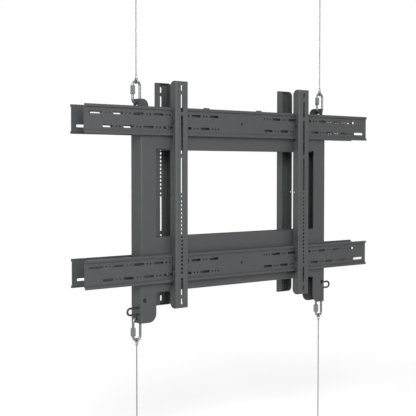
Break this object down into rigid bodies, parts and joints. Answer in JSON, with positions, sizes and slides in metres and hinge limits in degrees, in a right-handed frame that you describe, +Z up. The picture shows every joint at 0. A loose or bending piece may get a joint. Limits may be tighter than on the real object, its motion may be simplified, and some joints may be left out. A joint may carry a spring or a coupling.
{
  "type": "floor to ceiling tv mount",
  "caption": "Folded steel frame held between taut wire ropes, with slotted rails and hook-on brackets front and back.",
  "frame": {"origin": "on the ceiling plane, midway between the two ceiling plates", "axes": "+Z up, front towards -Y, rails along X"},
  "size_m": [0.914, 0.0812, 1.21],
  "materials": {
    "frame_steel": "fine texture powder coat",
    "bracket_steel": "fine texture powder coat",
    "plate_steel": "satin",
    "screw_zinc": "black zinc",
    "link_zinc": "bright zinc",
    "wire_rope": "stranded",
    "fitting_zinc": "satin",
    "black_wire": "gloss"
  },
  "bodies": {
    "frame": {"left_column": "frame_steel", "right_column": "frame_steel", "upper_cross_member": "frame_steel", "lower_cross_member": "frame_steel", "front_upper_rail": "frame_steel", "front_lower_rail": "frame_steel", "rear_upper_rail": "frame_steel", "rear_lower_rail": "frame_steel", "left_hanger": "plate_steel", "right_hanger": "plate_steel", "top_left_link": "link_zinc", "top_right_link": "link_zinc", "bottom_left_link": "link_zinc", "bottom_right_link": "link_zinc", "top_left_rope_eye": "fitting_zinc", "top_right_rope_eye": "fitting_zinc", "bottom_left_rope_eye": "fitting_zinc", "bottom_right_rope_eye": "fitting_zinc", "top_left_rope": "wire_rope", "top_right_rope": "wire_rope", "bottom_left_rope": "wire_rope", "bottom_right_rope": "wire_rope", "ceiling_left_plate": "fitting_zinc", "ceiling_right_plate": "fitting_zinc", "floor_left_plate": "fitting_zinc", "floor_right_plate": "fitting_zinc", "ceiling_left_barrel": "fitting_zinc", "ceiling_right_barrel": "fitting_zinc", "floor_left_barrel": "fitting_zinc", "floor_right_barrel": "fitting_zinc", "left_side_loop": "black_wire", "right_side_loop": "black_wire", "rail_spacers": "screw_zinc", "rail_screws": "screw_zinc", "rail_nuts": "screw_zinc", "hanger_screws": "screw_zinc", "hanger_nuts": "screw_zinc"},
    "front_left_bracket": {"front_left_bracket": "bracket_steel", "front_left_pins": "screw_zinc", "front_left_spring": "screw_zinc"},
    "front_left_latch": {"front_left_latch": "plate_steel"},
    "front_right_bracket": {"front_right_bracket": "bracket_steel", "front_right_pins": "screw_zinc", "front_right_spring": "screw_zinc"},
    "front_right_latch": {"front_right_latch": "plate_steel"},
    "rear_left_bracket": {"rear_left_bracket": "bracket_steel", "rear_left_pins": "screw_zinc", "rear_left_spring": "screw_zinc"},
    "rear_left_latch": {"rear_left_latch": "plate_steel"},
    "rear_right_bracket": {"rear_right_bracket": "bracket_steel", "rear_right_pins": "screw_zinc", "rear_right_spring": "screw_zinc"},
    "rear_right_latch": {"rear_right_latch": "plate_steel"},
    "top_left_nut": {"top_left_link_nut": "link_zinc"},
    "top_right_nut": {"top_right_link_nut": "link_zinc"},
    "bottom_left_nut": {"bottom_left_link_nut": "link_zinc"},
    "bottom_right_nut": {"bottom_right_link_nut": "link_zinc"}
  },
  "joints": [
    {"name": "front_left_slide", "type": "slide", "parent": "frame", "child": "front_left_bracket", "axis": [1, 0, 0], "range_m": [-0.215, 0.14]},
    {"name": "front_left_latch_turn", "type": "hinge", "parent": "front_left_bracket", "child": "front_left_latch", "pos_m": [-0.2, -0.0327, -0.759], "axis": [-1, 0, 0], "range_deg": [0, 40], "stiffness_Nm_per_rad": 0.05, "springref_deg": -28.65},
    {"name": "front_right_slide", "type": "slide", "parent": "frame", "child": "front_right_bracket", "axis": [1, 0, 0], "range_m": [-0.14, 0.215]},
    {"name": "front_right_latch_turn", "type": "hinge", "parent": "front_right_bracket", "child": "front_right_latch", "pos_m": [0.2, -0.0327, -0.759], "axis": [-1, 0, 0], "range_deg": [0, 40], "stiffness_Nm_per_rad": 0.05, "springref_deg": -28.65},
    {"name": "rear_left_slide", "type": "slide", "parent": "frame", "child": "rear_left_bracket", "axis": [1, 0, 0], "range_m": [-0.215, 0.14]},
    {"name": "rear_left_latch_turn", "type": "hinge", "parent": "rear_left_bracket", "child": "rear_left_latch", "pos_m": [-0.2, 0.0327, -0.759], "axis": [1, 0, 0], "range_deg": [0, 40], "stiffness_Nm_per_rad": 0.05, "springref_deg": -28.65},
    {"name": "rear_right_slide", "type": "slide", "parent": "frame", "child": "rear_right_bracket", "axis": [1, 0, 0], "range_m": [-0.14, 0.215]},
    {"name": "rear_right_latch_turn", "type": "hinge", "parent": "rear_right_bracket", "child": "rear_right_latch", "pos_m": [0.2, 0.0327, -0.759], "axis": [1, 0, 0], "range_deg": [0, 40], "stiffness_Nm_per_rad": 0.05, "springref_deg": -28.65},
    {"name": "top_left_nut_travel", "type": "slide", "parent": "frame", "child": "top_left_nut", "axis": [0, 0, -1], "range_m": [0, 0.0093]},
    {"name": "top_right_nut_travel", "type": "slide", "parent": "frame", "child": "top_right_nut", "axis": [0, 0, -1], "range_m": [0, 0.0093]},
    {"name": "bottom_left_nut_travel", "type": "slide", "parent": "frame", "child": "bottom_left_nut", "axis": [0, 0, 1], "range_m": [0, 0.0093]},
    {"name": "bottom_right_nut_travel", "type": "slide", "parent": "frame", "child": "bottom_right_nut", "axis": [0, 0, 1], "range_m": [0, 0.0093]}
  ]
}
